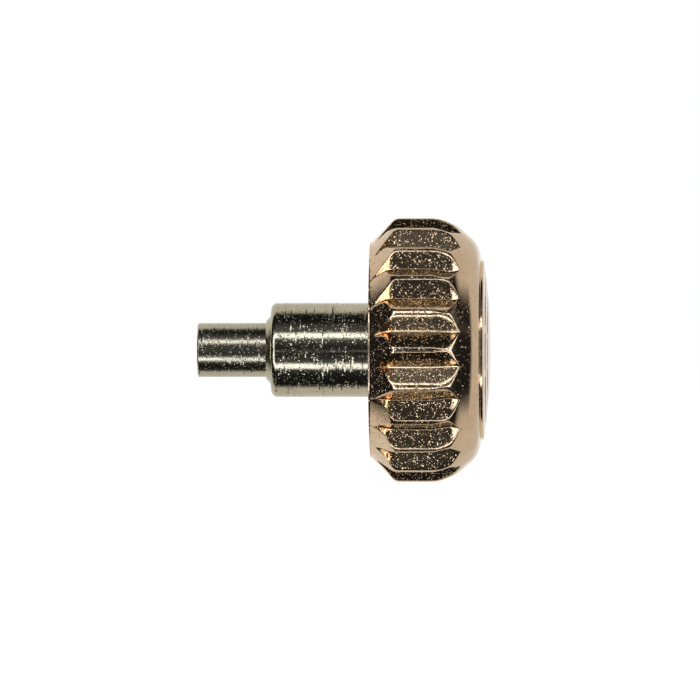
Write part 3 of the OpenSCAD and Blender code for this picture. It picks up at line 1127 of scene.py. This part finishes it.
studio = {
    # degrees from the lens, up and to the right; pairs say where something begins and is full
    "frameUp": 35.8,  # a frame of light round the lens: the middle line of each side
    "frameDown": 40.5,
    "frameLeft": 43.0,
    "frameRight": 50.0,
    "frameHalfWidth": 6.0,
    "frameSoftness": 1.2,
    "frameCorner": 6.0,
    "frameStrength": 1.9,
    "glow": 0.17,  # inside the frame, fading over glowReach; outerGlow is outside it
    "glowReach": 9.0,
    "outerGlow": 0.09,
    "outerReach": 7.0,
    "highGlow": 0.06,
    "highStart": (40.0, 50.0),
    "highEnd": (75.0, 58.0),
    "tailLight": 1.0,  # a light above and one below on the left, for the flutes' tails
    "tailLightSide": -49.0,
    "tailLightWidth": (20.0, 11.0),
    "tailLightHeight": 25.0,
    "tailLightSpan": (21.0, 13.0),
    "lineHeight": -2.5,  # a faint line of light across the front
    "lineWidth": (2.0, 0.6),
    "lineReach": (60.0, 40.0),
    "lineStrength": 0.2,
    "frontEnd": (88.0, 76.0),
    "dark": 0.012,
    # the pale surround behind the crown
    "edge": 102.0,
    "edgeTurn": 9.0,
    "edgeSoftness": (-6.0, 9.0),
    "pale": (0.70, 0.665, 0.60),
    "paleTurn": 0.10,
    "bright": (150.0, 172.0),
}
view = {
    "centreX": -0.463,  # the axis point in the middle of the picture
    "yaw": 1.5,
    "distance": 300.0,
    "width": 15.81,
    "sensor": 36.0,
    "nearest": 10.0,
    "furthest": 10000.0,
}


def makeWorld():
    # a frame of light round the lens, dark round it, and a pale surround behind the crown
    world = bpy.data.worlds.new("Studio")
    bpy.context.scene.world = world
    world.use_nodes = True
    tree = world.node_tree
    tree.nodes.clear()
    yaw = math.radians(view["yaw"])
    way = addNode(tree, "ShaderNodeTexCoord").outputs["Generated"]

    def part(direction):
        dot = addNode(tree, "ShaderNodeVectorMath", {0: way, 1: direction}, operation="DOT_PRODUCT")
        return Value(tree, dot.outputs["Value"])

    toCamera = part((math.sin(yaw), -math.cos(yaw), 0.0))
    side = part((math.cos(yaw), math.sin(yaw), 0.0))
    degrees = 180 / math.pi
    away = toCamera.clamp(-1.0, 1.0).math("ARCCOSINE") * degrees
    height = part((0.0, 0.0, 1.0)).math("ARCTAN2", toCamera) * degrees
    width = side.math("ARCTAN2", toCamera) * degrees
    # degrees outside the frame of light, negative inside it
    above = (height - studio["frameUp"]).math("MAXIMUM", -height - studio["frameDown"])
    beside = (width - studio["frameRight"]).math("MAXIMUM", -width - studio["frameLeft"])
    off = above.math("SMOOTH_MAX", beside, studio["frameCorner"])
    half, soft = studio["frameHalfWidth"], studio["frameSoftness"]
    lights = off.math("ABSOLUTE").ramp(half + soft, half - soft) * studio["frameStrength"]
    inner = ((off + half) / studio["glowReach"]).math("EXPONENT") * off.math("LESS_THAN", 0.0)
    outer = ((off - half) / -studio["outerReach"]).math("EXPONENT") * off.math("GREATER_THAN", 0.0)
    front = lights + inner.math("MINIMUM", 1.0) * studio["glow"]
    front = front + outer.math("MINIMUM", 1.0) * studio["outerGlow"]
    high = height.ramp(*studio["highStart"]) * height.ramp(*studio["highEnd"])
    sideways = (width - studio["tailLightSide"]).math("ABSOLUTE").ramp(*studio["tailLightWidth"])
    upright = (height.math("ABSOLUTE") - studio["tailLightHeight"]).math("ABSOLUTE")
    tailLight = sideways * upright.ramp(*studio["tailLightSpan"])
    front = front + high * studio["highGlow"] + tailLight * studio["tailLight"]
    line = (height - studio["lineHeight"]).math("ABSOLUTE").ramp(*studio["lineWidth"])
    line = line * away.ramp(*studio["lineReach"]) * studio["lineStrength"]
    front = (front + line) * away.ramp(*studio["frontEnd"]) + studio["dark"]
    # the pale surround reaches further forward on the dome's side and is brighter on the other
    least = 0.0001  # keeps the root away from zero
    turn = side / (1.0 - toCamera * toCamera).math("MAXIMUM", least).math("SQRT")
    start = turn * turn.math("ABSOLUTE") * -studio["edgeTurn"] - turn * turn + studio["edge"]
    behind = (away - start).ramp(*studio["edgeSoftness"])
    bright = away.ramp(*studio["bright"])
    light = addNode(tree, "ShaderNodeCombineXYZ")
    for socket, share in zip(light.inputs, studio["pale"]):
        pale = (bright * (1.0 - share) + share) * (1.0 - turn * studio["paleTurn"])
        connect(tree, behind * pale + front * (1.0 - behind), socket)
    # the camera itself sees white
    isCamera = addNode(tree, "ShaderNodeLightPath").outputs["Is Camera Ray"]
    color = colorMix(tree, isCamera, light.outputs[0], (1.0, 1.0, 1.0))
    background = addNode(tree, "ShaderNodeBackground", {"Color": color, "Strength": 1.0})
    output = addNode(tree, "ShaderNodeOutputWorld")
    tree.links.new(background.outputs[0], output.inputs["Surface"])


makeWorld()


# floor, camera and lamp

floorLook = {
    "size": 600.0,
    "color": (0.9, 0.9, 0.9, 1.0),
    "glow": 0.72,
}
lampLook = {
    "place": (10.0, 20.0, 90.0),
    "size": 60.0,
    "watts": 0.012,
}


def makeFloor():
    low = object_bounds()[0].z
    size = floorLook["size"] * mm
    corners = [(-size, -size, low), (size, -size, low), (size, size, low), (-size, size, low)]
    mesh = bpy.data.meshes.new("floor")
    mesh.from_pydata(corners, [], [(0, 1, 2, 3)])
    floor = newObject("floor", mesh)
    material, tree, shader, _ = newMaterial("paleFloor")
    shader.inputs["Base Color"].default_value = floorLook["color"]
    shader.inputs["Roughness"].default_value = 1.0
    shader.inputs["Specular IOR Level"].default_value = 0.0
    path = addNode(tree, "ShaderNodeLightPath")
    seen = Value(tree, path.outputs["Is Camera Ray"])
    for ray in ("Is Glossy Ray", "Is Transmission Ray"):
        seen = seen + Value(tree, path.outputs[ray])
    shader.inputs["Emission Color"].default_value = (1.0, 1.0, 1.0, 1.0)
    connect(tree, seen.clamp() * floorLook["glow"], shader.inputs["Emission Strength"])
    mesh.materials.append(material)
    floor.visible_glossy = False


makeFloor()


def makeCamera():
    yaw = math.radians(view["yaw"])
    target = Vector((view["centreX"], 0.0, 0.0)) * mm
    back = Vector((math.sin(yaw), -math.cos(yaw), 0.0))
    camera = newObject("camera", bpy.data.cameras.new("camera"))
    camera.location = target + back * view["distance"] * mm
    camera.rotation_euler = (-back).to_track_quat("-Z", "Y").to_euler()
    camera.data.sensor_width = view["sensor"]
    camera.data.lens = view["sensor"] * view["distance"] / view["width"]
    camera.data.clip_start = view["nearest"] * mm
    camera.data.clip_end = view["furthest"] * mm
    bpy.context.scene.camera = camera


def makeOverheadLight():
    # lights the floor and the rubber; the metal doesn't mirror it
    lamp = bpy.data.lights.new("overhead", "AREA")
    lamp.shape = "DISK"
    lamp.size = lampLook["size"] * mm
    lamp.energy = lampLook["watts"]
    holder = newObject("overhead", lamp)
    holder.location = Vector(lampLook["place"]) * mm
    holder.rotation_euler = (-holder.location).to_track_quat("-Z", "Y").to_euler()
    holder.visible_glossy = False
    holder.visible_camera = False


makeCamera()
makeOverheadLight()
bpy.context.scene.view_settings.view_transform = "Standard"
print("Studio made")
